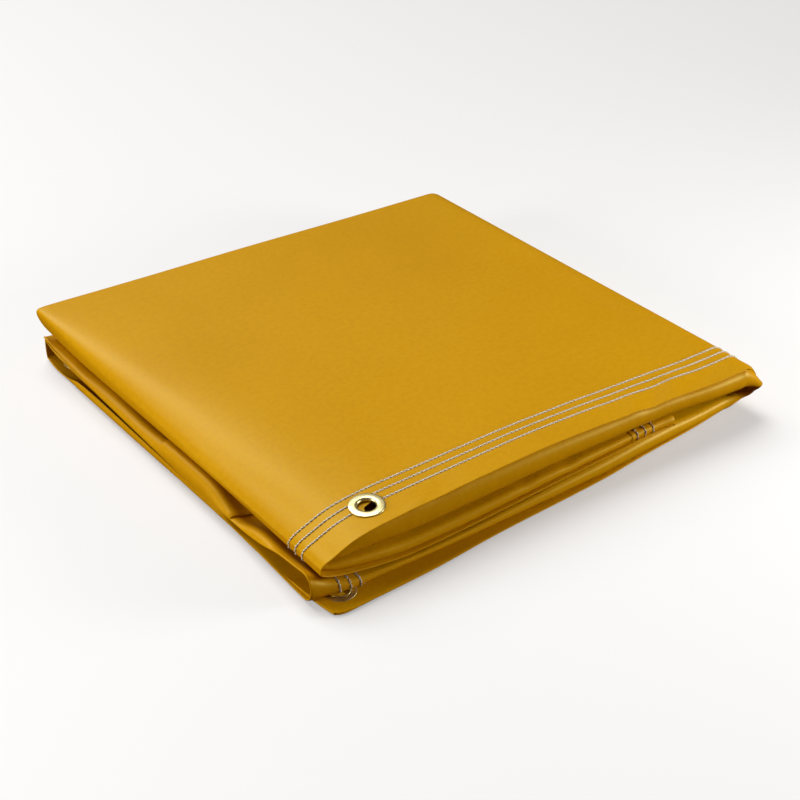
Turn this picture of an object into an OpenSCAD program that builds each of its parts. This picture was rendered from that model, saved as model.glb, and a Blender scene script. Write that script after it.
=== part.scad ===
// Welding curtain screen, folded flat into a square pack.
// One hemmed vinyl sheet is folded in a zigzag from front to back,
// then folded in three from side to side like a letter.
// All sizes in mm, +Z up, the pack lies on z = 0.

/* [Folded pack] */
// flat length of the top leaf between its two folds
flat_x = 388; // [360:1:420]
// depth of the pack from the front hem edge to the back folds
pack_y = 407; // [392:1:420]
// flat length of the tucked leaf
tucked_x = 319; // [300:1:330]
// inset of the bottom leaf's free end from the round fold
end_inset = 9; // [4:1:16]
// length of the half layer that ends the zigzag
half_y = 196; // [150:1:230]
// how far the bottom corner juts out in front
jut = 20; // [10:1:24]
// length of front edge over which the jut fades out
jut_run = 290; // [240:1:320]

/* [Vinyl] */
// thickness of the vinyl
ply = 0.4; // [0.35:0.05:0.5]
// spacing of two layers at a tight back fold
tight = 2.6; // [2.6:0.1:3]
// spacing of two layers at the full front fold
full = 5.2; // [4.4:0.1:6]
// spacing of two layers at the small front fold
small = 3; // [2.8:0.1:3.6]
// air between the top leaf and the tucked leaf
gap_upper = 2.4; // [2.2:0.1:3]
// air between the tucked leaf and the bottom leaf
gap_lower = 1.6; // [1.5:0.1:2.4]

/* [Hems and stitching] */
// width of every hem
hem_w = 42; // [38:1:48]
// outermost stitch row, from the hem edge
row_a = 21; // [18:0.5:24]
// middle stitch row, from the hem edge
row_b = 29; // [26:0.5:31]
// innermost stitch row, from the hem edge
row_c = 37; // [34:0.5:39]
// width of the sewing thread
thread_w = 0.8; // [0.6:0.1:1.2]
// height of the thread above the vinyl
thread_h = 0.3; // [0.2:0.05:0.3]

/* [Grommets] */
// diameter of the hole
hole_d = 12.7; // [11:0.1:14]
// outside diameter of the flange
flange_d = 25.4; // [23:0.1:27]
// thickness of the flange
flange_t = 0.8; // [0.6:0.1:0.8]
// outside diameter of the washer
washer_d = 24; // [22:0.1:26]
// thickness of the washer
washer_t = 0.5; // [0.4:0.05:0.5]
// wall of the barrel
barrel_w = 0.6; // [0.4:0.05:0.8]
// distance from a grommet's centre to the hem edge
edge_in = 19.5; // [17:0.5:23]
// top leaf grommet, from the axis of its round fold
top_grom_x = 51.6; // [40:0.1:70]

/* [Hidden] */
$fn = 96;
leaf_t = ply + 2 * tight + full + small;
za = flange_t;                            // outer face of the bottom leaf
zc = za + leaf_t + gap_lower;             // outer face of the tucked leaf
zb = zc + 2 * leaf_t + gap_upper;         // outer face of the top leaf
z1 = (za + zb) / 2;                       // axis of the outer fold
z2 = (zc + zb) / 2;                       // axis of the inner fold
r1 = (zb - za) / 2;
r2 = (zb - zc) / 2;
xmin = 0;
x2 = xmin + r2 + thread_h;                // axis of the inner fold
x1 = x2 + flat_x;                         // axis of the outer fold
xmax = x1 + r1 + thread_h;
xe = xmin + end_inset;                    // free end of the bottom leaf
xt = x2 + tucked_x;                       // free end of the tucked leaf
yf = 4;                                   // centre of the front folds
yb = pack_y - tight / 2 - ply / 2 - thread_h;   // centre of the back folds
ye = yf + half_y;                         // bottom hem edge of the curtain
ox = -(xmin + xmax) / 2;
oy = -(pack_y - jut) / 2;
rows = [row_a, row_b, row_c];
bar_r = hole_d / 2 + barrel_w;            // outside of the barrel
face = -(ply / 2 + thread_h / 2);         // threads on the face side
back = 1.5 * ply + thread_h / 2;          // threads on the hem's back
v12 = yb + 3.1416 * tight / 2;            // run of vinyl up to layer 2
v23 = v12 + yb - yf + 3.1416 * full / 2;
v34 = v23 + yb - yf + 3.1416 * tight / 2;
v45 = v34 + yb - yf + 3.1416 * small / 2;
v_end = v45 + half_y;
pitch = (v_end - 2 * edge_in) / 5;        // side hem grommets
g1 = edge_in + pitch;
g2 = yb - (edge_in + 2 * pitch - v12);
g3 = yf + (edge_in + 3 * pitch - v23);
g4 = yb - (edge_in + 4 * pitch - v34);
g5 = yf + (edge_in + 5 * pitch - v45);
vinyl = [0.90, 0.68, 0.07];
vinyl_hem = [0.84, 0.62, 0.05];
thread_c = [0.84, 0.83, 0.78];
brass_c = [0.80, 0.68, 0.36];
brass_w = [0.72, 0.60, 0.30];

// depth of the middle of layer n below its leaf's outer face
function dd(n) = ply / 2 + [0, tight, tight + full,
    2 * tight + full, 2 * tight + full + small][n - 1];
// front edge of the bottom leaf's outer layer at x
function slant(x) = x < xe + jut_run ? -jut * (1 - (x - xe) / jut_run) : 0;
// which way the back of layer n faces inside its leaf
function turned(n) = n % 2 == 1 ? 1 : -1;
// height of depth d in a leaf
function zz(leaf, d) = leaf == "b" ? zb - d : (leaf == "a" ? za : zc) + d;
function up(leaf) = leaf == "b" ? -1 : 1;

// [x, y, layer] of every grommet
grom_a = [
    [xe + edge_in, edge_in + slant(xe + edge_in), 1],
    [x1 - 15, edge_in, 1],
    [xe + edge_in, g1, 1], [xe + edge_in, g2, 2], [xe + edge_in, g3, 3],
    [xe + edge_in, g4, 4], [xe + edge_in, g5, 5]
];
grom_b = [[x2 + top_grom_x, edge_in, 1]];
grom_c = [
    [xt - edge_in, edge_in, 1], [xt - edge_in, g1, 1], [xt - edge_in, g2, 2],
    [xt - edge_in, g3, 3], [xt - edge_in, g4, 4], [xt - edge_in, g5, 5]
];

// ---- flat shapes: first number runs front to back, second is depth ----
module bar(y0, y1, d, th) translate([y0, d - th / 2]) square([y1 - y0, th]);

module turn(y, d, r, th, side) intersection() {
    translate([y, d]) difference() {
        circle(r + th / 2);
        circle(r - th / 2);
    }
    translate([side > 0 ? y : y - 20, d - 20]) square([20, 40]);
}

// zigzag run, off the middle of the vinyl by off, th thick
module zig(off, th, ys, yl, first = true) {
    if (first) bar(ys, yb, dd(1) + off, th);
    turn(yb, (dd(1) + dd(2)) / 2, tight / 2 - off, th, 1);
    bar(yf, yb, dd(2) - off, th);
    turn(yf, (dd(2) + dd(3)) / 2, full / 2 + off, th, -1);
    bar(yf, yb, dd(3) + off, th);
    turn(yb, (dd(3) + dd(4)) / 2, tight / 2 - off, th, 1);
    bar(yf, yb, dd(4) - off, th);
    turn(yf, (dd(4) + dd(5)) / 2, small / 2 + off, th, -1);
    bar(yf, yl, dd(5) + off, th);
}

// hem ply behind layer 1 with its rounded nose
module top_ply() {
    bar(0, hem_w, dd(1) + ply, ply);
    intersection() {
        translate([0, ply]) circle(ply);
        translate([-ply, 0]) square([ply, 2 * ply]);
    }
}

// hem ply behind layer 5 with its rounded nose
module base_ply() {
    bar(ye - hem_w, ye, dd(5) + ply, ply);
    intersection() {
        translate([ye, dd(5) + ply / 2]) circle(ply);
        translate([ye, dd(5) - ply / 2]) square([ply, 2 * ply]);
    }
}

module top_rows() for (r = rows) {
    bar(r - thread_w / 2, r + thread_w / 2, dd(1) + face, thread_h);
    bar(r - thread_w / 2, r + thread_w / 2, dd(1) + back, thread_h);
}

module base_rows() for (r = rows) {
    bar(ye - r - thread_w / 2, ye - r + thread_w / 2, dd(5) + face, thread_h);
    bar(ye - r - thread_w / 2, ye - r + thread_w / 2, dd(5) + back, thread_h);
}

// ---- placing a flat shape in the pack ----
module lay(leaf, xa, xb) translate([xa, 0, zz(leaf, 0)]) rotate([90, 0, 90])
    linear_extrude(xb - xa)
        if (leaf == "b") mirror([0, 1]) children();
        else children();

module bend(x, z, r, side) translate([x, 0, z]) rotate([-90, 0, 0])
    rotate([0, 0, side > 0 ? -90 : 90]) rotate_extrude(angle = 180)
        translate([r, 0]) rotate(90) children();

// ---- grommets: face of the vinyl at z = 0, back towards +z ----
module eyelet() rotate_extrude() {
    translate([hole_d / 2 + flange_t / 2, -flange_t])
        square([(flange_d - hole_d) / 2 - flange_t, flange_t]);
    translate([hole_d / 2 + flange_t / 2, -flange_t / 2]) circle(flange_t / 2);
    translate([flange_d / 2 - flange_t / 2, -flange_t / 2]) circle(flange_t / 2);
    translate([hole_d / 2, -flange_t / 2])
        square([barrel_w, flange_t / 2 + 2 * ply + washer_t + 0.3]);
    translate([hole_d / 2 + barrel_w / 2, 2 * ply + washer_t])
        square([1.4, 0.3]);
}

module washer() rotate_extrude() {
    translate([bar_r, 2 * ply]) square([washer_d / 2 - bar_r - washer_t / 2, washer_t]);
    translate([washer_d / 2 - washer_t / 2, 2 * ply + washer_t / 2])
        circle(washer_t / 2);
}

module at(leaf, g) {
    dir = up(leaf) * turned(g[2]);
    z = zz(leaf, dd(g[2]) - turned(g[2]) * ply / 2);
    translate([g[0], g[1], z])
        if (dir > 0) children();
        else mirror([0, 0, 1]) children();
}

module punch(leaf, list, r) for (g = list)
    at(leaf, g) translate([0, 0, -ply * 0.7]) cylinder(h = 3.4 * ply, r = r);

// plate in the bottom leaf's outer layer, off its middle by off
module corner_plate(pts, off, th)
    translate([0, 0, za + dd(1) + off - th / 2]) linear_extrude(th) polygon(pts);

// line of thread that follows the slanted front edge
module slant_row(r, off) corner_plate([
    [xe + 1, r + slant(xe + 1) - thread_w / 2],
    [xe + jut_run, r - thread_w / 2], [x1, r - thread_w / 2],
    [x1, r + thread_w / 2], [xe + jut_run, r + thread_w / 2],
    [xe + 1, r + slant(xe + 1) + thread_w / 2]
], off, thread_h);

// ---- stitching along a free end, on both sides of the vinyl ----
module end_rows(leaf, xh, dir) for (r = rows, s = [face, back])
    lay(leaf, xh + dir * r - thread_w / 2, xh + dir * r + thread_w / 2)
        zig(s, thread_h, hem_w + 1, ye - hem_w - 1);

// ---- bottom leaf ----
module bottom_panel() color(vinyl) difference() {
    lay("a", xe, x1) zig(0, ply, 0, ye, false);
    punch("a", [grom_a[3], grom_a[4], grom_a[5], grom_a[6]], bar_r);
}

module bottom_corner_layer() color(vinyl) difference() {
    corner_plate([[xe, -jut], [xe + jut_run, 0], [x1, 0], [x1, yb], [xe, yb]],
        0, ply);
    punch("a", [grom_a[0], grom_a[1], grom_a[2]], bar_r);
}

module bottom_top_hem() color(vinyl_hem) difference() {
    corner_plate([[xe, -jut], [xe + jut_run, 0], [x1, 0], [x1, hem_w],
        [xe + jut_run, hem_w], [xe, hem_w - jut]], ply, ply);
    punch("a", [grom_a[0], grom_a[1]], bar_r);
}

module bottom_end_hem() color(vinyl_hem) difference() {
    union() {
        corner_plate([[xe, hem_w + slant(xe)],
            [xe + hem_w, hem_w + slant(xe + hem_w)],
            [xe + hem_w, yb], [xe, yb]], ply, ply);
        lay("a", xe, xe + hem_w) zig(ply, ply, 0, ye - hem_w, false);
    }
    punch("a", [grom_a[2], grom_a[3], grom_a[4], grom_a[5]], bar_r);
}

module bottom_base_hem() color(vinyl_hem) difference() {
    lay("a", xe, x1) base_ply();
    punch("a", [grom_a[6]], bar_r);
}

module bottom_top_seam() color(thread_c) difference() {
    union() for (r = rows, s = [face, back]) slant_row(r, s);
    punch_wide("a", [grom_a[0], grom_a[1]]);
}

module bottom_end_seam() color(thread_c) difference() {
    end_rows("a", xe, 1);
    punch_wide("a", [grom_a[2], grom_a[3], grom_a[4], grom_a[5], grom_a[6]]);
}

module bottom_base_seam() color(thread_c) difference() {
    lay("a", xe + 1, x1) base_rows();
    punch_wide("a", [grom_a[6]]);
}

module punch_wide(leaf, list) for (g = list)
    at(leaf, g) translate([0, 0, -flange_t])
        cylinder(h = flange_t + 2 * ply + washer_t + 0.4, r = flange_d / 2 + 0.4);

module bottom_eyelets() color(brass_c) for (g = grom_a) at("a", g) eyelet();
module bottom_washers() color(brass_w) for (g = grom_a) at("a", g) washer();

// ---- outer fold, from the bottom leaf round to the top leaf ----
module outer_fold() color(vinyl) bend(x1, z1, r1, 1) zig(0, ply, 0, ye);
module outer_fold_top_hem() color(vinyl_hem) bend(x1, z1, r1, 1) top_ply();
module outer_fold_base_hem() color(vinyl_hem) bend(x1, z1, r1, 1) base_ply();
module outer_fold_top_seam() color(thread_c) bend(x1, z1, r1, 1) top_rows();
module outer_fold_base_seam() color(thread_c) bend(x1, z1, r1, 1) base_rows();

// ---- top leaf ----
module top_panel() color(vinyl) difference() {
    lay("b", x2, x1) zig(0, ply, 0, ye);
    punch("b", grom_b, bar_r);
}

module top_leaf_hem() color(vinyl_hem) difference() {
    lay("b", x2, x1) top_ply();
    punch("b", grom_b, bar_r);
}

module top_leaf_base_hem() color(vinyl_hem) lay("b", x2, x1) base_ply();

module top_leaf_seam() color(thread_c) difference() {
    lay("b", x2, x1) top_rows();
    punch_wide("b", grom_b);
}

module top_leaf_base_seam() color(thread_c) lay("b", x2, x1) base_rows();
module top_eyelet() color(brass_c) at("b", grom_b[0]) eyelet();
module top_washer() color(brass_w) at("b", grom_b[0]) washer();

// ---- inner fold, from the top leaf round to the tucked leaf ----
module inner_fold() color(vinyl) bend(x2, z2, r2, -1) zig(0, ply, 0, ye);
module inner_fold_top_hem() color(vinyl_hem) bend(x2, z2, r2, -1) top_ply();
module inner_fold_base_hem() color(vinyl_hem) bend(x2, z2, r2, -1) base_ply();
module inner_fold_top_seam() color(thread_c) bend(x2, z2, r2, -1) top_rows();
module inner_fold_base_seam() color(thread_c) bend(x2, z2, r2, -1) base_rows();

// ---- tucked leaf ----
module tucked_panel() color(vinyl) difference() {
    lay("c", x2, xt) zig(0, ply, 0, ye);
    punch("c", grom_c, bar_r);
}

module tucked_top_hem() color(vinyl_hem) difference() {
    lay("c", x2, xt) top_ply();
    punch("c", [grom_c[0]], bar_r);
}

module tucked_end_hem() color(vinyl_hem) difference() {
    lay("c", xt - hem_w, xt) zig(ply, ply, hem_w, ye - hem_w);
    punch("c", [grom_c[1], grom_c[2], grom_c[3], grom_c[4]], bar_r);
}

module tucked_base_hem() color(vinyl_hem) difference() {
    lay("c", x2, xt) base_ply();
    punch("c", [grom_c[5]], bar_r);
}

module tucked_top_seam() color(thread_c) difference() {
    lay("c", x2, xt - 1) top_rows();
    punch_wide("c", [grom_c[0]]);
}

module tucked_end_seam() color(thread_c) difference() {
    end_rows("c", xt, -1);
    punch_wide("c", [grom_c[1], grom_c[2], grom_c[3], grom_c[4], grom_c[5]]);
}

module tucked_base_seam() color(thread_c) difference() {
    lay("c", x2, xt - 1) base_rows();
    punch_wide("c", [grom_c[5]]);
}

module tucked_eyelets() color(brass_c) for (g = grom_c) at("c", g) eyelet();
module tucked_washers() color(brass_w) for (g = grom_c) at("c", g) washer();

translate([ox, oy, 0]) {
    bottom_panel();
    bottom_corner_layer();
    bottom_top_hem();
    bottom_end_hem();
    bottom_base_hem();
    bottom_top_seam();
    bottom_end_seam();
    bottom_base_seam();
    bottom_eyelets();
    bottom_washers();
    outer_fold();
    outer_fold_top_hem();
    outer_fold_base_hem();
    outer_fold_top_seam();
    outer_fold_base_seam();
    top_panel();
    top_leaf_hem();
    top_leaf_base_hem();
    top_leaf_seam();
    top_leaf_base_seam();
    top_eyelet();
    top_washer();
    inner_fold();
    inner_fold_top_hem();
    inner_fold_base_hem();
    inner_fold_top_seam();
    inner_fold_base_seam();
    tucked_panel();
    tucked_top_hem();
    tucked_end_hem();
    tucked_base_hem();
    tucked_top_seam();
    tucked_end_seam();
    tucked_base_seam();
    tucked_eyelets();
    tucked_washers();
}
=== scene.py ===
import bpy
import math
import numpy as np
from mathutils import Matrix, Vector


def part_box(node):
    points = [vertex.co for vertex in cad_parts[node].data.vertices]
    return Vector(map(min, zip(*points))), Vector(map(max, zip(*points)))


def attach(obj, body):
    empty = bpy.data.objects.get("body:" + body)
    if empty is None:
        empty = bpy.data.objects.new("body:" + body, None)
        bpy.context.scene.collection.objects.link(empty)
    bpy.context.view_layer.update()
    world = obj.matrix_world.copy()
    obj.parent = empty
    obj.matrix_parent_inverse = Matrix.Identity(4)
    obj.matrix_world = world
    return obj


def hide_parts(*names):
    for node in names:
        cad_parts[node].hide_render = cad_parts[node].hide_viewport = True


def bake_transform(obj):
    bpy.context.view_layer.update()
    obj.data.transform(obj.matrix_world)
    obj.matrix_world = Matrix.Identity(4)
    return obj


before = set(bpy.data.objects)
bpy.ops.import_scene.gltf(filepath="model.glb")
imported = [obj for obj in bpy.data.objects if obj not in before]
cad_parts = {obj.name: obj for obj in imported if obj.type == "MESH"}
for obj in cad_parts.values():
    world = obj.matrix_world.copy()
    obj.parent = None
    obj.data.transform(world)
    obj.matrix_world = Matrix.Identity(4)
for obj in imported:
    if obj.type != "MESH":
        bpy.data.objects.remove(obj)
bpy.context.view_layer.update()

# ---------------------------------------------------------------- camera
cam_data = bpy.data.cameras.new("camera")
cam_data.lens = 65.25
cam_data.sensor_width = 36.0
camera = bpy.data.objects.new("camera", cam_data)
bpy.context.collection.objects.link(camera)
bpy.context.scene.camera = camera
LOOK_AT = Vector((-0.05202, -0.08017, 0.0462))
AZ, EL, DIST = math.radians(-35.577), math.radians(31.568), 1.0715
back = Vector((math.sin(AZ) * math.cos(EL), -math.cos(AZ) * math.cos(EL), math.sin(EL)))
camera.location = LOOK_AT + back * DIST
camera.rotation_euler = back.to_track_quat("Z", "Y").to_euler()

# ------------------------------------------------- sizes, in mm, from the CAD
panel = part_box("bottom_panel")
fold_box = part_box("outer_fold")
XE = 9.0                                   # free end of the bottom leaf
OX = panel[0][0] * 1000 - XE               # shift from leaf millimetres to the frame
Z0 = 0.8                                   # outer face of the bottom leaf
ZT = 46.2                                  # outer face of the top leaf
X1 = fold_box[0][0] * 1000 - OX            # axis of the outer fold
R1 = (ZT - Z0) / 2
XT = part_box("tucked_panel")[1][0] * 1000 - OX
YB = 405.2                                 # centre of the back folds
YE = 200.0                                 # bottom hem edge, on the last layer
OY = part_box("tucked_base_hem")[1][1] * 1000 - YE - 0.4
ZM = 31.2                                  # between the top and the tucked leaf
ZL = 15.8                                  # between the tucked and the bottom leaf
ZK = 16.2                                  # outer face of the tucked leaf
HEM = 42.0                                 # width of every hem
ROWS = (21.0, 29.0, 37.0)                  # rows of stitching, from the hem's edge
CUT = 150.0                                # where the shaped inner fold begins
PLY_GAP = 0.45                             # sheet to hem ply, away from the rolled edge
HOLE_R = 8.2                               # hole cut for a grommet, under its flanges
HOLE_RIM = HOLE_R + 1.0                    # points nearer than this move out to it
HOLE_REACH = 1.7                           # plies this near the grommet's height are cut
HOLE_SPAN = 16                             # and only this far along the path
FLANGE_R = 12.4                            # thread keeps this far from a grommet's axis
FLANGE_REACH = 2.2                         # where it is this near the grommet's height


def ramp(a, b, x):
    """0 at a, 1 at b, smooth between and level outside."""
    t = np.clip((np.asarray(x, float) - a) / (b - a), 0, 1)
    return t * t * (3 - 2 * t)


def curve(points, x):
    """Smooth curve through points without overshoot."""
    px, py = np.array(points, float).T
    h = np.diff(px)
    d = np.diff(py) / h
    m = np.zeros(len(px))
    for i in range(1, len(px) - 1):
        if d[i - 1] * d[i] > 0:
            m[i] = 2 * d[i - 1] * d[i] / (d[i - 1] + d[i])
    m[0], m[-1] = d[0], d[-1]
    x = np.clip(np.asarray(x, float), px[0], px[-1])
    i = np.clip(np.searchsorted(px, x, side="right") - 1, 0, len(px) - 2)
    t = (x - px[i]) / h[i]
    t2, t3 = t * t, t * t * t
    return ((2 * t3 - 3 * t2 + 1) * py[i] + (t3 - 2 * t2 + t) * h[i] * m[i]
            + (3 * t2 - 2 * t3) * py[i + 1] + (t3 - t2) * h[i] * m[i + 1])


# ------------------------------------- heights between the leaves, x to z
TOP_EDGE = [(20, 45.0), (71, 45.0), (96, 45.2), (150, 46.7), (207, 47.6), (256, 47.3),
            (294, 46.4), (335, 45.7), (374, 45.4), (403, 45.6), (420, 45.6)]
MID_EDGE = [(15, 24), (40, 22), (60, 20), (94, 17.5), (143, 19), (193, 22), (274, 24.5),
            (340, 25.6), (373, 24.6), (403, 24)]
LOW_EDGE = [(15, 11), (50, 9), (70, 7.5), (94, 6.5), (130, 7), (171, 9.5), (220, 13),
            (276, 16), (310, 17.5), (336, 17), (352, 15.5), (375, 13.8), (403, 13.4)]


def swell(x, y):
    """Soft unevenness of the whole pack, in mm."""
    return (0.55 * np.sin(x / 61 + 0.7) * np.sin(y / 83 + 1.1)
            + 0.35 * np.sin(x / 37 - y / 71 + 2.0)
            + 0.22 * np.sin(y / 29 + x / 90) * ramp(60, 20, y)
            + 0.16 * np.sin(x / 17 + y / 44 + 1.0) * ramp(70, 25, y))


def bump(x, y, cx, cy, ang, length, width, height):
    """One soft crease or dent."""
    a = math.radians(ang)
    p = (x - cx) * math.cos(a) + (y - cy) * math.sin(a)
    q = -(x - cx) * math.sin(a) + (y - cy) * math.cos(a)
    return height * np.exp(-(p / length) ** 2 - (q / width) ** 2)


CREASES = [(318, 9, 40, 22, 7, -1.5), (296, 6, 65, 18, 8, 1.0), (344, 14, 25, 26, 8, 0.8),
           (372, 8, 10, 30, 7, -0.9), (100, 4, 12, 16, 4, 0.9), (122, 8, 20, 20, 6, -0.7),
           (86, 60, 70, 50, 16, 0.5), (352, 58, 15, 42, 12, -0.55), (240, 40, 5, 70, 12, -0.4),
           (60, 250, 84, 120, 22, 0.35), (200, 160, 30, 110, 50, -0.5),
           (300, 250, 62, 90, 45, 0.4), (385, 150, 88, 80, 14, -0.6)]


def top_z(x, y):
    """Outer face of the top leaf."""
    z = ZT + (curve(TOP_EDGE, x) - ZT) * np.exp(-(np.maximum(y, 0) / 52) ** 1.4)
    z = z + 0.7 * swell(x, y)
    for c in CREASES:
        z = z + bump(x, y, *c)
    return z


def mid_z(x, y):
    """Boundary between the top leaf and the tucked leaf."""
    return ZM + (curve(MID_EDGE, x) - ZM) * np.exp(-(np.maximum(y, 0) / 42) ** 1.6)


def low_z(x, y):
    """Boundary between the tucked leaf and the bottom leaf."""
    return ZL + (curve(LOW_EDGE, x) - ZL) * np.exp(-(np.maximum(y, 0) / 42) ** 1.6)


def dent(y):
    """How far the bottom leaf's upper side is pressed in at its free end."""
    return (bump(y, 0 * y, 99, 0, 0, 24, 1, 9.0) * ramp(20, 60, y)
            + bump(y, 0 * y, 232, 0, 0, 30, 1, 1.6) + bump(y, 0 * y, 330, 0, 0, 18, 1, 1.2))


def bottom_top(x, y):
    """Upper side of the bottom leaf."""
    front = curve([(0, 13.2), (9, 12.6), (14, 11.2), (20, 8), (30, 4), (50, 0.5), (64, 0)], x)
    inner = curve([(0, 7.0), (9, 6.6), (14, 5.6), (20, 3.6), (30, 1.5), (44, 0.4), (64, 0)], x)
    extra = front + (inner - front) * ramp(0, 45, y)
    return low_z(x, y) - 0.7 + extra - dent(y) * ramp(52, 12, x)


# ----------------------------- shaped inner fold: stations from front to back
NOSE_Y = np.array([-30.0, 0, 40, 137, 261, 350, 405, 415])
NOSE = [
    [(150, 46.2), (110, 46.2), (85, 45.9), (68, 45.4), (54, 44.0), (43, 41.9), (33, 38.3),
     (25, 34.8), (18, 32.0), (14.8, 28.4), (15, 24), (19.5, 20.4), (30, 17.4), (50, 16.0),
     (74, 16.2), (108, 16.2), (150, 16.2)],
    [(150, 46.2), (108, 46.2), (80, 45.9), (62, 45.2), (49, 43.8), (38.5, 41.0), (30, 37.6),
     (22.5, 34.6), (17, 31.6), (14, 28.2), (14.2, 24.4), (18.5, 20.8), (28.5, 17.8),
     (46, 16.2), (68, 16.2), (102, 16.2), (150, 16.2)],
    [(150, 46.2), (102, 46.2), (72, 46), (54, 45.3), (40.5, 43.8), (30, 41.2), (22, 38),
     (16, 34.8), (12.4, 31.6), (11, 28.4), (12.4, 25), (17.5, 21.6), (28, 18.6), (44, 17),
     (64, 16.3), (96, 16.2), (150, 16.2)],
    [(150, 46.2), (100, 46.2), (66, 46.1), (44, 45.8), (30, 45), (20, 43), (13.5, 40.2),
     (9.3, 36.8), (7.3, 33), (7, 29.4), (8.4, 25.8), (13.5, 22), (23, 18.9), (38, 17),
     (58, 16.3), (92, 16.2), (150, 16.2)],
    [(150, 46.2), (100, 46.2), (62, 46.2), (38, 46.1), (23, 45.7), (12.5, 44.6), (6.5, 42.6),
     (3.8, 39.6), (3.2, 36.2), (3.4, 32), (4.7, 28), (9, 23.4), (18, 19.6), (34, 17.4),
     (54, 16.4), (90, 16.2), (150, 16.2)],
    [(150, 46.2), (100, 46.2), (60, 46.2), (36, 46.2), (20, 46.1), (9, 46), (3, 45.3),
     (1.0, 43.2), (0.8, 40.2), (1.8, 35.5), (3.6, 30.5), (8, 24.6), (16.5, 20), (32, 17.6),
     (52, 16.5), (88, 16.2), (150, 16.2)],
]
NOSE = np.array([NOSE[0]] + NOSE + [NOSE[-1]])          # station, key, (x, z)
TIP = NOSE[:, :, 0].min(axis=1)
KEYS = np.arange(17.0)
REF = NOSE[3]
RUN = np.concatenate([[0], np.cumsum(np.hypot(*np.diff(REF, axis=0).T))])

U1 = X1 - XE                               # end of the bottom leaf
U2 = U1 + math.pi * R1                     # end of the outer fold
U3 = U2 + X1 - CUT                         # where the shaped inner fold begins
U4 = U3 + RUN[-1]                          # where it ends
U5 = U4 + XT - CUT                         # free end of the tucked leaf
US = U3 + RUN[12] + 4.0                    # seam between the two pieces


def stations(values, y):
    """Smooth interpolation of values (n, stations) at y (n)."""
    h = np.diff(NOSE_Y)
    m = np.gradient(values, NOSE_Y, axis=1)
    y = np.clip(y, NOSE_Y[0], NOSE_Y[-1])
    i = np.clip(np.searchsorted(NOSE_Y, y, side="right") - 1, 0, len(h) - 1)
    n = np.arange(len(y))
    t = (y - NOSE_Y[i]) / h[i]
    t2, t3 = t * t, t * t * t
    return ((2 * t3 - 3 * t2 + 1) * values[n, i] + (t3 - 2 * t2 + t) * h[i] * m[n, i]
            + (3 * t2 - 2 * t3) * values[n, i + 1] + (t3 - t2) * h[i] * m[n, i + 1])


def nose(key, y):
    """Outer and inner curve of the inner fold at key number and y."""
    xs = np.stack([curve(np.c_[KEYS, NOSE[s, :, 0]], key) for s in range(len(NOSE))], 1)
    zs = np.stack([curve(np.c_[KEYS, NOSE[s, :, 1]], key) for s in range(len(NOSE))], 1)
    x, z = stations(xs, y), stations(zs, y)
    tip = stations(np.tile(TIP, (len(key), 1)), y)
    upper = ramp(6.5, 2.0, key)
    under = ramp(11.0, 14.5, key)
    z = z + (top_z(x, y) - ZT) * upper + (low_z(x, y) + 0.6 - ZK) * under
    run = np.maximum(x - tip, 0)
    grow = 12.0 + run * run / (run + 14.0)
    qx = tip + grow
    side = np.clip(9.5 - key, -1, 1)
    gap = 0.3 + 0.4 * (1 - np.exp(-run / 12))
    qz = mid_z(qx, y) + side * gap
    return x, z, qx, qz


def share(kap, y, front, deep):
    """Depth of layer number kap as a share of its leaf, front folds fuller."""
    s = ramp(12, 46, y - front)
    f2 = (1 - s) * (0.08 + 0.45 * deep) + s * (0.19 + 0.2 * deep)
    f3 = (1 - s) * 0.95 + s * 0.57
    f3 = np.maximum(f3, f2 + 0.12)
    one = np.ones_like(f2)
    table = np.stack([0.015 * one, f2, f3, 0.78 * one, 0.97 * one], 1)
    k = np.clip(kap - 1, 0, 3.9999)
    i = k.astype(int)
    n = np.arange(len(i))
    t = k - i
    return table[n, i] * (1 - t) + table[n, i + 1] * t


# the bottom leaf's free end, y to x for layers 1 to 3
FREE = {
    1: [(-20, 18.5), (-18.5, 16.4), (-16, 15.2), (5, 12), (20, 11), (66, 9.5), (148, 7.5),
        (322, 2), (375, 0.8), (395, 2.4), (406, 3.4)],
    2: [(-22, 9), (66, 9), (148, 7.5), (322, 3), (375, 1.6), (397, 3), (406, 3.4)],
    3: [(-22, 9), (20, 8.5), (100, 7.5), (200, 5.5), (322, 3), (397, 2.6), (406, 2.8)],
}
# height of the lip of layer 3 there, and of layer 2 as a share of it, over y
LIP3 = [(-5, 22.6), (5, 22.2), (15, 21), (34, 19), (64, 13.5), (104, 9.6), (145, 10.4),
        (200, 12.8), (325, 16.6), (380, 18.8), (397, 20.6), (406, 20.8)]
RATIO2 = [(-5, 0.06), (12, 0.06), (60, 0.16), (104, 0.36), (150, 0.58), (250, 0.78),
          (325, 0.86), (397, 0.92), (406, 0.92)]


CURL = [(-5, 0.2), (70, 0.2), (115, 2.4), (150, 4.2), (200, 6.2), (300, 8.2), (334, 7.0),
        (362, 0.8), (406, 0.2)]                        # height of layer 1's raised edge, over y


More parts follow.
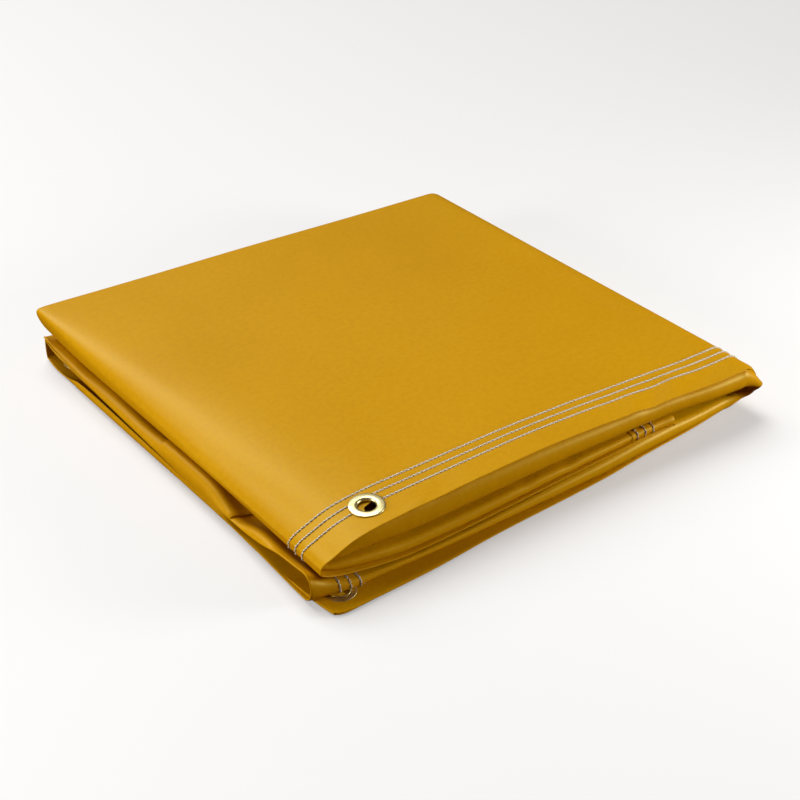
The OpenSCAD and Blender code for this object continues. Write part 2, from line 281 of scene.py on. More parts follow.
def bottom_leaf(u, kap, y, f, front):
    uu = np.maximum(u, 0)
    e1, e2, e3 = (curve(FREE[n], y) for n in (1, 2, 3))
    xe = np.where(kap < 2, e1 + (e2 - e1) * (kap - 1),
                  e2 + (e3 - e2) * np.clip(kap - 2, 0, 1))
    x = xe + (X1 - xe) * uu / U1
    top = bottom_top(x, y)
    z_in = Z0 + f * (top - Z0)
    lip = curve(LIP3, y)
    high = top - np.clip(5 - kap, 0, 2) * 1.3
    high = high + (z_in - high) * ramp(15, 85, x)
    q = np.sqrt(np.clip(1 - (1 - np.minimum(uu, 9) / 9) ** 2, 0, 1))
    edge = lip + np.clip(kap - 3, 0, 2) * 0.9
    z3 = edge + (high - edge) * q
    # layer 2 lies on the floor layer in front and under the lip at the back
    top3 = top - 2.6
    f3 = share(np.full_like(kap, 3.0), y, front, 0 * f)
    z_in3 = Z0 + f3 * (top - Z0)
    top3 = top3 + (z_in3 - top3) * ramp(15, 85, x)
    top3 = lip + (top3 - lip) * q
    f2 = share(np.full_like(kap, 2.0), y, front, 0 * f) / f3
    rho = curve(RATIO2, y)
    rho = rho + (f2 - rho) * ramp(0, 80, uu)
    z2 = Z0 + rho * (top3 - Z0)
    curl = curve(CURL, y)
    flat = np.clip(1 - uu / (curl + 1.5), 0, 1)
    z1 = Z0 + 0.2 + curl * flat ** 1.3
    # the edge stands up, so the layer behind it starts later
    setback = curl * (1 - flat ** 2) * ramp(90, 20, uu)
    x = x - setback * np.clip(2 - kap, 0, 1)
    z = np.where(kap <= 2, z1 + (z2 - z1) * (kap - 1),
                 np.where(kap <= 3, z2 + (top3 - z2) * (kap - 2), z3))
    return x, z


def outer_fold(u, kap, y, f, front):
    th = (u - U1) / (U2 - U1) * math.pi
    one = np.full_like(th, X1)
    top, mid, low = top_z(one, y), mid_z(one, y) + 0.6, bottom_top(one, y)
    keen = 0.9 * ramp(5, -3.5, y)                      # the front end comes to a ridge
    bulge = (1 - keen) * np.sin(th) + keen * np.clip(1 - np.abs(np.cos(th)), 0, 1) ** 0.85
    lift = 3.6 * keen * np.sin(th)
    px = X1 + (R1 + 0.8 * keen) * bulge
    pz = (top + Z0) / 2 - (top - Z0) / 2 * np.cos(th) + lift
    wide = 8.9 + 10.8 * ramp(34, 2, y)
    qx = X1 + wide * bulge
    qz = (mid + low) / 2 - (mid - low) / 2 * np.cos(th) + lift
    return px + (qx - px) * f, pz + (qz - pz) * f


def top_leaf(u, kap, y, f, front):
    x = X1 - (u - U2)
    top, mid = top_z(x, y), mid_z(x, y) + 0.6
    return x, top - f * (top - mid)


def inner_fold(u, kap, y, f, front):
    px, pz, qx, qz = nose(curve(np.c_[RUN, KEYS], u - U3), y)
    return px + (qx - px) * f, pz + (qz - pz) * f


def tucked_leaf(u, kap, y, f, front):
    x = CUT + (u - U4)
    low, mid = low_z(x, y) + 0.6, mid_z(x, y) - 0.7
    sag = bump(x, y, 232, 0, 0, 7, 14, -1.2) + bump(x, y, 192, 0, 0, 5, 12, -1.0)
    return x, low + f * (mid - low + sag)


def place(u, kap, y):
    """Position in the pack, in mm, of path u, layer number kap and depth y."""
    shape = np.broadcast(u, kap, y).shape
    u, kap, y = (np.broadcast_to(np.asarray(a, float), shape).ravel() for a in (u, kap, y))
    x, z = np.zeros_like(u), np.zeros_like(u)
    front = front_fold(u)
    key = curve(np.c_[RUN, KEYS], u - U3)
    deep = np.where(u > U3, ramp(3.0, 8.0, key) * ramp(10.6, 9.2, key), 0)
    f = share(kap, y, front, deep)
    stretches = ((u <= U1, bottom_leaf), ((u > U1) & (u <= U2), outer_fold),
                 ((u > U2) & (u <= U3), top_leaf), ((u > U3) & (u <= U4), inner_fold),
                 (u > U4, tucked_leaf))
    for m, shaped in stretches:
        if m.any():
            x[m], z[m] = shaped(u[m], kap[m], y[m], f[m], front[m])
    inside = np.clip(z / ZT, 0, 1)
    z = z + 0.5 * swell(x * 1.3 + 40, y * 1.2 + 9) * inside * (1 - inside) * 4
    return np.stack([x, y, z], 1).reshape(shape + (3,))


# ------------------------------------------ front and back edges along the path
def path_x(u):
    """x of the outer face along the path, in mm."""
    u = np.asarray(u, float)
    key = curve(np.c_[RUN, KEYS], u - U3)
    x = np.where(u <= U1, XE + u, 0)
    x = np.where((u > U1) & (u <= U2), X1, x)
    x = np.where((u > U2) & (u <= U3), X1 - (u - U2), x)
    x = np.where((u > U3) & (u <= U4), curve(np.c_[KEYS, NOSE[1, :, 0]], key), x)
    return np.where(u > U4, CUT + u - U4, x)


def along(u, bottom, fold, top, inner, tucked):
    """Values given leaf by leaf as tables over x, or over the fold's angle."""
    u = np.asarray(u, float)
    x = path_x(u)
    key = curve(np.c_[RUN, KEYS], u - U3)
    deg = np.degrees((u - U1) / (U2 - U1) * math.pi)
    out = np.where(u <= U1, curve(bottom, x), 0)
    out = np.where((u > U1) & (u <= U2), curve(fold, deg), out)
    out = np.where((u > U2) & (u <= U3), curve(top, x), out)
    out = np.where((u > U3) & (u <= U4), curve(inner, key), out)
    return np.where(u > U4, curve(tucked, x), out)


def hem_edge(u):
    """y of the top hem's edge along the path."""
    return along(u,
                 [(9, -17.6), (11, -19.2), (14, -20), (37, -19), (84, -17), (155, -10.5),
                  (257, -4), (309, 2), (361, 7), (403, 13)],
                 [(0, 13), (38, 11), (65, 8), (90, 5), (110, 2), (130, 0), (150, -1.5),
                  (180, -3)],
                 [(150, 0.6), (209, 1.6), (258, 1.3), (294, 0), (335, -1), (374, -2.8),
                  (404, -3)],
                 [(0, 0.6), (1, -0.6), (3, -2.2), (5, -3), (8, -3.4), (10, -3), (14, -1),
                  (16, 0)],
                 [(149, 0), (276, -0.5), (340, 0)])


def front_fold(u):
    """y of the front folds along the path."""
    return along(u,
                 [(9, -0.8), (20, -1.8), (38, -3.4), (70, -3), (150, -3), (200, -3),
                  (250, -2.6), (300, -0.5), (350, 4), (403, 9.5)],
                 [(0, 9.5), (38, 8.0), (65, 2), (85, -3.6), (105, -4.6), (130, -4.8),
                  (180, -5)],
                 [(150, 1), (300, 0), (340, -1.6), (375, -4.2), (404, -5)],
                 [(0, 1), (3, 1), (6, 2.6), (8, 5), (10, 5), (12, 2.5), (14, 1), (16, 1)],
                 [(149, 1), (340, 1.5)])


def back_fold(u):
    """y of the back folds along the path."""
    return along(u,
                 [(5, 398.6), (12, 399), (60, YB), (403, YB)],
                 [(0, YB), (180, YB)],
                 [(150, YB), (404, YB)],
                 [(0, YB), (7.5, YB), (9, 402.5), (11, 394.5), (13, 398), (16, YB)],
                 [(149, YB), (340, YB)])


# ------------------------------------------------------------- grids of the sheet
def spaced(a, b, step):
    """Even values from a to b, about a step apart."""
    return np.linspace(a, b, max(2, int(round(abs(b - a) / step)) + 1))


def v_samples():
    """(leg, local t) all along the zigzag; legs are numbered 0 to 8."""
    out = []
    fine = np.array([0, 2, 4, 7, 10, 14, 18, 23, 28, 34, 40, 46, 53, 60])
    body = spaced(66, 345, 5.6)
    tail = np.array([351, 357, 363, 369, 375, 381, 386, 391, 395, 398.5, 401.5, 404])
    one = np.concatenate([fine, body, tail]) / 404.0
    for leg in range(9):
        if leg % 2:                                     # a fold
            t = np.linspace(0, 1, 15 if leg == 3 else 9)[1:-1]
        elif leg == 8:
            t = np.linspace(0, 1, 30)
        else:
            t = one if leg % 4 == 0 else 1 - one[::-1]
        out += [(leg, s) for s in t]
    return np.array([p[0] for p in out]), np.array([p[1] for p in out])


LEG, TT = v_samples()
INNER_Y = 47.0                                          # front of the recessed small fold


def half_gap(u):
    """Half thickness of the full front fold along the path."""
    u = np.asarray(u, float)
    f0 = front_fold(u) + 4
    a = place(u, 2.0 + 0 * u, f0)
    b = place(u, 3.0 + 0 * u, f0)
    return np.clip(np.linalg.norm(a - b, axis=-1) / 2, 0.8, 10.5)


def leg_points(u, leg, t):
    """(kap, y) on the zigzag for path u (n,1) and samples leg, t (m)."""
    hem, fold, rear = hem_edge(u), front_fold(u), back_fold(u)
    rad = half_gap(u)
    centre = fold + rad * 0.95
    inner = fold + INNER_Y + 56 * ramp(75, 12, u)
    kap = np.zeros(np.broadcast(u, t).shape)
    y = np.zeros_like(kap)
    lap = ramp(70, 0, u)                                # open loops at the free end

    def put(n, k, yy):
        s = leg == n
        if s.any():
            kap[:, s] = np.broadcast_to(k, kap.shape)[:, s]
            y[:, s] = np.broadcast_to(yy, y.shape)[:, s]

    c = (1 - np.cos(math.pi * t)) / 2
    arc = np.sin(math.pi * t)
    put(0, 1, hem + (rear - hem) * t)
    put(1, 1 + c, rear + (1.3 + 0.6 * lap) * arc)
    put(2, 2, rear + (centre - rear) * t)
    put(3, 2 + c, centre - rad * 0.95 * np.abs(arc) ** 0.9)
    put(4, 3, centre + (rear - centre) * t)
    put(5, 3 + c, rear + 1.3 * arc)
    put(6, 4, rear + (inner - rear) * t)
    put(7, 4 + c, inner - 1.6 * arc)
    put(8, 5, inner + (YE - inner) * t)
    return kap, y


def cut_lengths():
    """Flat distance v of every sample, from the plain lengths of the legs."""
    run = [YB, 4.1, YB - 8, 16, YB - 8, 4.1, YB - INNER_Y, 5, YE - INNER_Y]
    start = np.concatenate([[0], np.cumsum(run)])
    return start[LEG] + TT * np.array(run)[LEG]


VV = cut_lengths()


def u_samples():
    """Path coordinates of the samples, for the outer and the tucked piece."""
    nose_fine = U3 + curve(np.c_[KEYS, RUN], np.linspace(3, 12.4, 46))
    parts = [
        [0, 0.8, 2, 3.5, 5.5, 8, 11, 14.5, 18.5, 23, 28], spaced(33, U1 - 4, 5.2),
        spaced(U1, U2, 3.2), spaced(U2 + 5, U3 - 4, 5.2),
        U3 + spaced(0, RUN[3] - 4, 5.2), nose_fine,
    ]
    main = np.unique(np.round(np.concatenate([np.asarray(p, float) for p in parts]), 4))
    main = np.append(main[main < US - 1.5], US)
    tucked = np.concatenate([[US], spaced(US + 4, U4, 4.6)[:-1], spaced(U4, U5 - 8, 5.2),
                             [U5 - 5.5, U5 - 3.5, U5 - 2, U5 - 0.8, U5]])
    return main, tucked


UM, UK = u_samples()


def sheet_grid(us):
    kap, y = leg_points(us[:, None], LEG, TT)
    return place(us[:, None], kap, y)


def unit(v):
    """Vectors along the last axis, made one long."""
    return v / np.maximum(np.linalg.norm(v, axis=-1, keepdims=True), 1e-9)


def normals(grid):
    """Unit normals of a grid of points, towards the back side of the vinyl."""
    return unit(np.cross(np.gradient(grid, axis=0), np.gradient(grid, axis=1)))


# ------------------------------------------------------------------- mesh making
SHIFT = np.array([OX, OY, 0.0])
IN_TURN = 46.0                             # path over which the inner hinge takes hold
PATHS = {}                                 # path coordinate of every point, by piece


def outer_turn(u):
    """Share of the outer hinge's turn that the sheet follows at path u."""
    return np.clip((np.asarray(u, float) - U1) / (U2 - U1), 0, 1)


def inner_turn(u):
    """Share of the inner hinge's turn that the sheet follows at path u."""
    return ramp(0, 1, (np.asarray(u, float) - US) / IN_TURN)


def make(name, points, faces, u=None, cut=None, holes=()):
    """Mesh object from points in mm; u is the path coordinate kept for the hinges."""
    points = np.array(points, float)
    faces = np.asarray(faces)
    if len(holes):
        path = cut[:, 0] if u is None else np.asarray(u)
        mid = points[faces].mean(axis=1)
        keep = np.ones(len(faces), bool)
        mine = [np.abs(path - at) < HOLE_SPAN for _, at in holes]
        for (c, _), own in zip(holes, mine):
            d = mid - c
            keep &= ~((np.hypot(d[:, 0], d[:, 1]) < HOLE_R) & (np.abs(d[:, 2]) < HOLE_REACH)
                      & own[faces].all(axis=1))
        faces = faces[keep]
        for (c, _), own in zip(holes, mine):
            d = points - c
            flat = np.hypot(d[:, 0], d[:, 1])
            near = own & (flat < HOLE_RIM) & (np.abs(d[:, 2]) < HOLE_REACH) & (flat > 1e-6)
            points[near, :2] = c[:2] + d[near, :2] * (HOLE_RIM / flat[near])[:, None]
    used = np.zeros(len(points), bool)
    used[faces.ravel()] = True
    index = np.cumsum(used) - 1
    points, faces = points[used], index[faces]
    mesh = bpy.data.meshes.new(name)
    mesh.from_pydata(((points + SHIFT) / 1000).tolist(), [], faces.tolist())
    mesh.update()
    if cut is not None:
        a = mesh.attributes.new("cut", "FLOAT_VECTOR", "POINT")
        c = np.zeros((len(points), 3), np.float32)
        c[:, :cut.shape[1]] = cut[used] / 1000
        a.data.foreach_set("vector", c.ravel())
    mesh.polygons.foreach_set("use_smooth", [True] * len(mesh.polygons))
    obj = bpy.data.objects.new(name, mesh)
    bpy.context.collection.objects.link(obj)
    if u is not None:
        PATHS[name] = np.asarray(u, float)[used]
    return obj


def quads(nu, nv):
    """Faces of a grid of nu by nv points."""
    i, j = np.meshgrid(np.arange(nu - 1), np.arange(nv - 1), indexing="ij")
    a = (i * nv + j).ravel()
    return np.stack([a, a + 1, a + nv + 1, a + nv], 1)


def from_grid(name, grid, us, vs, holes=()):
    nu, nv = grid.shape[:2]
    cut = np.stack(np.broadcast_arrays(us[:, None], vs[None, :]), 2).reshape(-1, 2)
    return make(name, grid.reshape(-1, 3), quads(nu, nv), np.repeat(us, nv), cut, holes)


def hinge(obj, weight):
    """Bakes the piece's transform and works out blend weights by the path coordinate; the weights
    are not applied.
    """
    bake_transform(obj)
    w = weight(PATHS[obj.name]).astype(np.float32)


# ----------------------------------------------------------- grommet positions
TOP_GROMMET_X = 66.9                       # the one that is seen on the top leaf


def grommet_frames():
    """(label, leaf, centre, normal, path) of every grommet, from the CAD's layout."""
    # label, leaf, path from a free end, leg of the zigzag, y
    spots = [
        ("bottom_1", "bottom_leaf", 19.5, 0, 0.85), ("bottom_2", "bottom_leaf", 379.3, 0, 33.0),
        ("bottom_3", "bottom_leaf", 19.5, 0, 376.9), ("bottom_4", "bottom_leaf", 19.5, 2, 80.2),
        ("bottom_5", "bottom_leaf", 19.5, 4, 277.0), ("bottom_6", "bottom_leaf", 19.5, 6, 180.2),
        ("bottom_7", "bottom_leaf", 19.5, 8, 180.5), ("top_1", "top_leaf", None, 0, 19.5),
        ("tucked_1", "tucked_leaf", -19.5, 0, 19.5), ("tucked_2", "tucked_leaf", -19.5, 0, 376.9),
        ("tucked_3", "tucked_leaf", -19.5, 2, 80.2), ("tucked_4", "tucked_leaf", -19.5, 4, 277.0),
        ("tucked_5", "tucked_leaf", -19.5, 6, 180.2), ("tucked_6", "tucked_leaf", -19.5, 8, 180.5),
    ]
    out = []
    for label, leaf, du, leg, y in spots:
        if du is None:
            cand = spaced(U2, U3 + RUN[5], 0.25)
            p = place(cand, 1.0 + 0 * cand, y + 0 * cand)
            u = cand[np.argmin(np.abs(p[:, 0] - TOP_GROMMET_X))]
        else:
            u = du if du > 0 else U5 + du
        kap = leg / 2 + 1.0
        d = 4.0
        uu = np.array([u, u + d, u - d, u, u])
        yy = np.array([y, y, y, y + d, y - d], float)
        p = place(uu, kap + 0 * uu, yy)
        nrm = np.cross(p[1] - p[2], p[3] - p[4])
        nrm = nrm / np.linalg.norm(nrm) * (1 if leg % 4 == 0 else -1)
        centre = (p[0] * 2 + p[1:].sum(axis=0)) / 6
        out.append((label, leaf, centre, nrm, u))
    return out


GROMMETS = grommet_frames()
HOLES = [(c, u) for _, _, c, _, u in GROMMETS]


# ------------------------------------------------------------------- materials
def nodes_of(mat):
    """An empty node tree with one Principled shader on its output."""
    mat.use_nodes = True
    nt = mat.node_tree
    nt.nodes.clear()
    out = nt.nodes.new("ShaderNodeOutputMaterial")
    sh = nt.nodes.new("ShaderNodeBsdfPrincipled")
    nt.links.new(sh.outputs[0], out.inputs[0])
    return nt, sh


def node(nt, kind, **values):
    n = nt.nodes.new("ShaderNode" + kind)
    for k, v in values.items():
        if k in n.inputs:
            n.inputs[k].default_value = v
        else:
            setattr(n, k, v)
    return n


def link(nt, a, b):
    nt.links.new(a, b)


def two_tone(nt, value, low, low_color, high, high_color):
    """Colour ramp over a value, with two stops."""
    n = node(nt, "ValToRGB")
    first, last = n.color_ramp.elements
    first.position, first.color = low, (*low_color, 1)
    last.position, last.color = high, (*high_color, 1)
    link(nt, value, n.inputs[0])
    return n


WEAVE_PITCH = 0.00125                      # metres, threads of the scrim


def vinyl(name, light, dark, rough):
    mat = bpy.data.materials.new(name)
    nt, sh = nodes_of(mat)
    cut = node(nt, "Attribute", attribute_name="cut")
    big = node(nt, "TexNoise", Scale=5.0, Detail=5.0, Roughness=0.55)
    link(nt, cut.outputs["Vector"], big.inputs["Vector"])
    fine = node(nt, "TexNoise", Scale=240.0, Detail=3.0, Roughness=0.6)
    link(nt, cut.outputs["Vector"], fine.inputs["Vector"])
    # colour: broad drift, and a fine mottling of the coating
    tone = two_tone(nt, big.outputs[0], 0.3, dark, 0.7, light)
    mix = node(nt, "Mix", data_type="RGBA", blend_type="MULTIPLY")
    mix.inputs[0].default_value = 0.16
    link(nt, tone.outputs[0], mix.inputs[6])
    speck = two_tone(nt, fine.outputs[0], 0.35, (0.62, 0.55, 0.4), 0.6, (1, 1, 1))
    link(nt, speck.outputs[0], mix.inputs[7])
    # painted highlight: a lighter colour mixed in on convex folds and edges
    geo = node(nt, "NewGeometry")
    fold_highlight_mask = two_tone(nt, geo.outputs["Pointiness"], 0.52, (0, 0, 0), 0.66, (1, 1, 1))
    fold_highlight_share = node(nt, "Math", operation="MULTIPLY")
    link(nt, fold_highlight_mask.outputs[0], fold_highlight_share.inputs[0])
    fold_highlight_share.inputs[1].default_value = 0.22
    painted_fold_highlight = node(nt, "Mix", data_type="RGBA")
    link(nt, fold_highlight_share.outputs[0], painted_fold_highlight.inputs[0])
    link(nt, mix.outputs[2], painted_fold_highlight.inputs[6])
    # the lighter colour of the painted highlight on the folds
    painted_fold_highlight.inputs[7].default_value = (light[0] * 1.05, light[1] * 1.15, light[2] * 2 + 0.02, 1)
    link(nt, painted_fold_highlight.outputs[2], sh.inputs["Base Color"])
    # roughness varies with the mottling
    rr = node(nt, "MapRange")
    rr.inputs["To Min"].default_value = rough - 0.06
    rr.inputs["To Max"].default_value = rough + 0.1
    link(nt, fine.outputs[0], rr.inputs["Value"])
    link(nt, rr.outputs[0], sh.inputs["Roughness"])
    sh.inputs["Specular IOR Level"].default_value = 0.28
    sh.inputs["Specular Tint"].default_value = (1.0, 0.93, 0.10, 1)
    sh.inputs["IOR"].default_value = 1.5
    # woven scrim showing through the coating, and soft handling wrinkles
    sep = node(nt, "SeparateXYZ")
    link(nt, cut.outputs["Vector"], sep.inputs[0])
    waves = []
    for axis in (0, 1):
        k = node(nt, "Math", operation="MULTIPLY")
        link(nt, sep.outputs[axis], k.inputs[0])
        k.inputs[1].default_value = 2 * math.pi / WEAVE_PITCH
        s = node(nt, "Math", operation="SINE")
        link(nt, k.outputs[0], s.inputs[0])
        waves.append(s)
    weave = node(nt, "Math", operation="MULTIPLY")
    link(nt, waves[0].outputs[0], weave.inputs[0])
    link(nt, waves[1].outputs[0], weave.inputs[1])
    b1 = node(nt, "Bump", Strength=0.10, Distance=0.00012)
    link(nt, weave.outputs[0], b1.inputs["Height"])
    wr = node(nt, "TexNoise", Scale=26.0, Detail=4.0, Roughness=0.5, Distortion=0.4)
    link(nt, cut.outputs["Vector"], wr.inputs["Vector"])
    b2 = node(nt, "Bump", Strength=0.20, Distance=0.0016)
    link(nt, wr.outputs[0], b2.inputs["Height"])
    link(nt, b1.outputs[0], b2.inputs["Normal"])
    b3 = node(nt, "Bump", Strength=0.10, Distance=0.0003)
    link(nt, fine.outputs[0], b3.inputs["Height"])
    link(nt, b2.outputs[0], b3.inputs["Normal"])
    link(nt, b3.outputs[0], sh.inputs["Normal"])
    return mat


def yarn():
    mat = bpy.data.materials.new("sewing_thread")
    nt, sh = nodes_of(mat)
    cut = node(nt, "Attribute", attribute_name="cut")
    wave = node(nt, "TexWave", wave_type="BANDS", bands_direction="DIAGONAL", Scale=330.0,
                Distortion=1.2, Detail=1.0)
    link(nt, cut.outputs["Vector"], wave.inputs["Vector"])
    # twist bands of the thread; their near-black colour is partly painted shade for the thread's
    # shaded side and the grooves of its twist
    tone = two_tone(nt, wave.outputs[0], 0.0, (0.20, 0.17, 0.12), 0.55, (0.80, 0.75, 0.62))
    link(nt, tone.outputs[0], sh.inputs["Base Color"])
    sh.inputs["Roughness"].default_value = 0.7
    sh.inputs["Sheen Weight"].default_value = 0.3
    b = node(nt, "Bump", Strength=0.5, Distance=0.0002)
    link(nt, wave.outputs[0], b.inputs["Height"])
    link(nt, b.outputs[0], sh.inputs["Normal"])
    return mat


def brass(name, light, dark, rough):
    mat = bpy.data.materials.new(name)
    nt, sh = nodes_of(mat)
    tc = node(nt, "TexCoord")
    n1 = node(nt, "TexNoise", Scale=140.0, Detail=6.0, Roughness=0.65)
    link(nt, tc.outputs["Object"], n1.inputs["Vector"])
    tone = two_tone(nt, n1.outputs[0], 0.34, dark, 0.62, light)
    link(nt, tone.outputs[0], sh.inputs["Base Color"])
    sh.inputs["Metallic"].default_value = 1.0
    rr = node(nt, "MapRange")
    rr.inputs["To Min"].default_value = rough + 0.14
    rr.inputs["To Max"].default_value = rough - 0.06
    link(nt, n1.outputs[0], rr.inputs["Value"])
    link(nt, rr.outputs[0], sh.inputs["Roughness"])
    n2 = node(nt, "TexNoise", Scale=900.0, Detail=2.0)
    link(nt, tc.outputs["Object"], n2.inputs["Vector"])
    b = node(nt, "Bump", Strength=0.12, Distance=0.0002)
    link(nt, n2.outputs[0], b.inputs["Height"])
    link(nt, b.outputs[0], sh.inputs["Normal"])
    return mat


VINYL = vinyl("coated_vinyl", (0.67, 0.335, 0.0008), (0.62, 0.300, 0.0006), 0.36)
VINYL_HEM = vinyl("coated_vinyl_hem", (0.66, 0.325, 0.0008), (0.61, 0.290, 0.0006), 0.38)
THREAD = yarn()
BRASS = brass("brass", (0.86, 0.78, 0.42), (0.62, 0.52, 0.24), 0.30)
BRASS_W = brass("brass_washer", (0.74, 0.64, 0.32), (0.48, 0.38, 0.16), 0.38)


def finish_piece(obj, mat, slot, *nodes):
    """Material, and the CAD nodes that the piece stands for, which are hidden; slot is not used."""
    obj.data.materials.append(mat)
    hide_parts(*nodes)


# --------------------------------------------------------------- the vinyl sheet
outer_sheet = from_grid("curtain_outer_sheet", sheet_grid(UM), UM, VV, HOLES)
finish_piece(outer_sheet, VINYL, "vinyl", "bottom_panel", "bottom_corner_layer", "outer_fold",
             "top_panel", "inner_fold")
tucked_sheet = from_grid("curtain_tucked_sheet", sheet_grid(UK), UK, VV, HOLES)
finish_piece(tucked_sheet, VINYL, "vinyl", "tucked_panel")


# ------------------------------------------------------------------------- hems
def gap_at(dist, roll):
    """Space between sheet and hem ply at a distance from the hem edge."""
    return PLY_GAP + (2 * roll - PLY_GAP) * ramp(13, 1, dist)


def roll_strip(edge, nrm, out, roll, steps=5):
    """Rounded hem edge: from the sheet's edge round to the back ply."""
    ang = np.linspace(0, math.pi, steps + 1)
    return [edge + out * roll * math.sin(a) + nrm * roll * (1 - math.cos(a)) for a in ang]


def cross_hem(name, us, side, roll):
    """Hem along v = 0 (side 1) or along the last v (side -1)."""
    dist = np.array([0, 1.5, 3, 5, 8, 12, 17, 22, 27, 32, 37, 40, HEM])
    hem = hem_edge(us)[:, None]
    d = dist[None, :]
    if side > 0:
        kap, y = np.ones((len(us), len(dist))), hem + d
    else:
        kap, y = 5 * np.ones((len(us), len(dist))), YE - d + 0 * hem
    base = place(us[:, None], kap, y)
    nrm = unit(np.cross(np.gradient(base, axis=0), np.gradient(base, axis=1) * side))
    out = unit(-(base[:, 1] - base[:, 0]))
    rolled = roll_strip(base[:, 0], nrm[:, 0], out, roll)
    ply = base + nrm * gap_at(dist, roll)[None, :, None]
    grid = np.concatenate([np.stack(rolled, 1), ply[:, 1:]], 1)
    vcoord = np.concatenate([-np.linspace(0, 2, len(rolled)), -2 - dist[1:]])
    return from_grid(name, grid, us, vcoord, HOLES)


top_hem_m = cross_hem("outer_top_hem", UM, 1, 0.55)
finish_piece(top_hem_m, VINYL_HEM, "vinyl_hem", "bottom_top_hem", "outer_fold_top_hem",
             "top_leaf_hem", "inner_fold_top_hem")
top_hem_k = cross_hem("tucked_top_hem_ply", UK, 1, 0.55)
finish_piece(top_hem_k, VINYL_HEM, "vinyl_hem", "tucked_top_hem")
base_hem_m = cross_hem("outer_base_hem", UM, -1, 0.5)
finish_piece(base_hem_m, VINYL_HEM, "vinyl_hem", "bottom_base_hem", "outer_fold_base_hem",
             "top_leaf_base_hem", "inner_fold_base_hem")
base_hem_k = cross_hem("tucked_base_hem_ply", UK, -1, 0.5)
finish_piece(base_hem_k, VINYL_HEM, "vinyl_hem", "tucked_base_hem")


def end_hem(name, free, sign):
    """Hem along a free end, over the whole zigzag."""
    dist = np.array([0, 1.2, 2.5, 4, 6, 9, 13, 18, 23, 28, 33, 38, HEM])
    base = sheet_grid(free + sign * dist)
    n = normals(base) * sign
    out = unit(base[0] - base[1])
    roll = np.where(np.isin(LEG, (1, 5, 7)), 0.42, 0.62)    # tighter round the small folds
    # one more ply lies between where the end hem crosses the top hem
    over = np.where((LEG == 0) & (TT * YB < HEM + 3) & (TT * YB > -1), 0.55, 0.0)
    rolled = []
    for a in np.linspace(0, math.pi, 7):
        rolled.append(base[0] + out * (roll * math.sin(a))[:, None]
                      + n[0] * ((roll + over / 2) * (1 - math.cos(a)))[:, None])
    gaps = PLY_GAP + over[None, :] + (2 * roll[None, :] - PLY_GAP) * ramp(13, 1, dist)[:, None]
    ply = base + n * gaps[:, :, None]
    grid = np.concatenate([np.stack(rolled, 0), ply[1:]], 0)
    ucoord = np.concatenate([free - sign * np.linspace(0, 2, 7), free - sign * (2 + dist[1:])])
    nu, nv = grid.shape[:2]
    cut = np.stack(np.broadcast_arrays(ucoord[:, None], VV[None, :]), 2).reshape(-1, 2)
    return make(name, grid.reshape(-1, 3), quads(nu, nv), None, cut, HOLES)


end_hem_m = end_hem("bottom_end_hem_ply", 0.0, 1)
finish_piece(end_hem_m, VINYL_HEM, "vinyl_hem", "bottom_end_hem")
end_hem_k = end_hem("tucked_end_hem_ply", U5, -1)
finish_piece(end_hem_k, VINYL_HEM, "vinyl_hem", "tucked_end_hem")


# --------------------------------------------------------------------- stitching
PITCH = 3.5                                # length of a stitch
THREAD_R = 0.74
FACES = ((-1, 0.12), (1, 0.62))            # side of the sheet, height of the thread over it
SHORTEST = 6                               # samples; a shorter run of thread is left out
BARE = (5, 4)                              # samples left bare at the ends of an end row


def resample(path, extra, step):
    """Points at even steps along path, with extra columns carried along."""
    seg = np.linalg.norm(np.diff(path, axis=0), axis=1)
    run = np.concatenate([[0], np.cumsum(seg)])
    n = max(2, int(run[-1] / step))
    s = np.linspace(0, run[-1], n + 1)
    pts = np.stack([np.interp(s, run, path[:, k]) for k in range(3)], 1)
    ext = np.stack([np.interp(s, run, extra[:, k]) for k in range(extra.shape[1])], 1)
    return s, pts, ext


def stitch_row(path, nrm, us, lift, sides, per):
    """Twisted thread that dips into the vinyl once a stitch."""
    ext = np.c_[nrm, us]
    s, p, ext = resample(path, ext, PITCH / per)
    n = unit(ext[:, :3])
    b = np.cross(unit(np.gradient(p, axis=0)), n)
    ph = (s / PITCH) % 1.0
    arch = np.sqrt(np.clip(np.sin(math.pi * ph), 0, 1))
    mid = p + n * (lift - 0.40 + 0.66 * arch)[:, None] + b * (0.42 * (ph - 0.5))[:, None]
    rad = THREAD_R * (0.62 + 0.38 * arch)
    ang = np.linspace(0, 2 * math.pi, sides, endpoint=False)
    ring = (mid[:, None] + n[:, None] * (np.sin(ang)[None, :, None] * rad[:, None, None] * 0.8)
            + b[:, None] * (np.cos(ang)[None, :, None] * rad[:, None, None]))
    m = len(mid)
    i, j = np.meshgrid(np.arange(m - 1), np.arange(sides), indexing="ij")
    a = i * sides + j
    c = i * sides + (j + 1) % sides
    faces = np.stack([a, c, c + sides, a + sides], 2).reshape(-1, 4)
    cut = np.stack([np.repeat(s, sides), np.tile(ang * 0.5, m)], 1)
    return ring.reshape(-1, 3), faces, np.repeat(ext[:, 3], sides), cut


def join_rows(name, rows):
    """One piece of all the rows of a seam."""
    pts, faces, us, cuts, off = [], [], [], [], 0
    for p, f, u, c in rows:
        pts.append(p)
        faces.append(f + off)
        us.append(u)
        cuts.append(c)
        off += len(p)
    return make(name, np.concatenate(pts), np.concatenate(faces), np.concatenate(us),
                np.concatenate(cuts))


